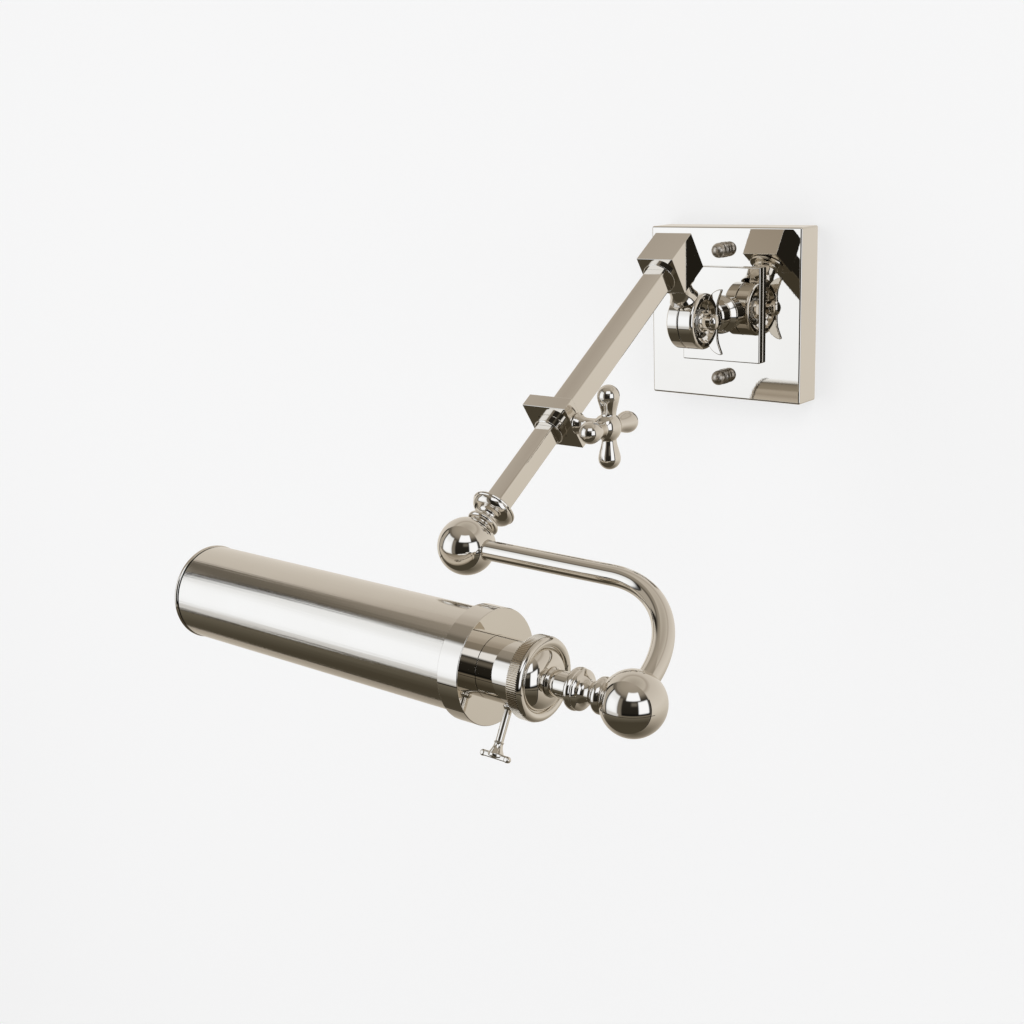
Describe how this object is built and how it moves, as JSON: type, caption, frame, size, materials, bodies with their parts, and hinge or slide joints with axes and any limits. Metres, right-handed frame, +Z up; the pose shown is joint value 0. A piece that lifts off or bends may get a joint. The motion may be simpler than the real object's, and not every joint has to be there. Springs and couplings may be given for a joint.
{
  "type": "swing arm wall sconce",
  "caption": "Wall-mounted picture light: square backplate, tilting and swinging telescopic arm, J-shaped end arm and a slotted tubular shade on a keyed socket.",
  "frame": {"origin": "centre of the mounting strap's slot pattern, in the wall plane at the middle of the backplate", "axes": "+Z up, -Y out from the wall into the room, +X to the right seen from the room"},
  "size_m": [0.3318, 0.3942, 0.2394],
  "materials": {
    "nickel": "polished nickel",
    "steel": "plain",
    "brass": "plain",
    "green_screw": "satin",
    "dark_plastic": "matt",
    "brown_plastic": "moulded",
    "frosted_glass": "frosted"
  },
  "bodies": {
    "wall_base": {"backplate": "nickel", "mounting_strap": "steel", "strap_studs": "steel", "stud_nuts": "steel", "ground_screw": "green_screw", "cap_nuts": "nickel", "raised_plate": "nickel", "plate_screws": "steel", "foot_bolt": "steel", "knuckle_base": "nickel", "pivot_bolt": "steel", "friction_washer": "dark_plastic"},
    "thumb_screw": {"wing_nut": "nickel", "bolt_washer": "steel"},
    "neck": {"knuckle_swing": "nickel", "neck_washer": "nickel", "neck_spindle": "steel"},
    "elbow": {"elbow_block": "nickel", "elbow_grub": "steel", "outer_tube": "nickel", "clamp_block": "nickel", "clamp_bush": "nickel"},
    "clamp_handle": {"cross_handle": "nickel", "clamp_screw": "nickel", "clamp_pad": "dark_plastic"},
    "sliding_arm": {"inner_tube": "nickel", "bell_fitting": "nickel", "ball_1_spindle": "steel"},
    "j_arm": {"swivel_ring_1": "nickel", "ball_1": "nickel", "j_tube": "nickel", "ball_2": "nickel", "swivel_ring_2": "nickel", "ball_grubs": "steel", "stem_spindle": "steel"},
    "lamp_head": {"head_stem": "nickel", "socket_cap": "nickel", "knurled_ring": "nickel", "socket_shell": "nickel", "socket_core": "dark_plastic", "switch_body": "brown_plastic", "screw_shell": "brass", "centre_contact": "brass", "shade_ring": "steel", "shade_collar": "nickel", "shade_tube": "nickel", "shade_end_cap": "nickel", "bulb_base": "brass", "bulb_glass": "frosted_glass"},
    "key": {"switch_key": "nickel"}
  },
  "joints": [
    {"name": "tilt", "type": "hinge", "parent": "wall_base", "child": "neck", "pos_m": [0, -0.063, 0], "axis": [1, 0, 0], "range_deg": [-45, 45]},
    {"name": "thumb_screw_turn", "type": "hinge", "parent": "wall_base", "child": "thumb_screw", "pos_m": [0.015, -0.063, 0], "axis": [1, 0, 0], "range_deg": [-180, 180]},
    {"name": "elbow_swing", "type": "hinge", "parent": "neck", "child": "elbow", "pos_m": [0, -0.09025, 0.04133], "axis": [0, -0.5505, 0.8348], "range_deg": [-55, 55]},
    {"name": "clamp_turn", "type": "hinge", "parent": "elbow", "child": "clamp_handle", "pos_m": [0.02, -0.21715, -0.04235], "axis": [1, 0, 0], "range_deg": [-180, 180]},
    {"name": "arm_slide", "type": "slide", "parent": "elbow", "child": "sliding_arm", "axis": [0, -0.8348, -0.5505], "range_m": [-0.055, 0.055]},
    {"name": "j_arm_roll", "type": "hinge", "parent": "sliding_arm", "child": "j_arm", "pos_m": [0, -0.30397, -0.0996], "axis": [0, -0.8348, -0.5505], "range_deg": [-165, 165]},
    {"name": "head_roll", "type": "hinge", "parent": "j_arm", "child": "lamp_head", "pos_m": [0.155, -0.36324, -0.13868], "axis": [-1, 0, 0], "range_deg": [-120, 120]},
    {"name": "key_turn", "type": "hinge", "parent": "lamp_head", "child": "key", "pos_m": [0.0845, -0.37521, -0.16063], "axis": [0, -0.4787, -0.878], "continuous": true}
  ]
}
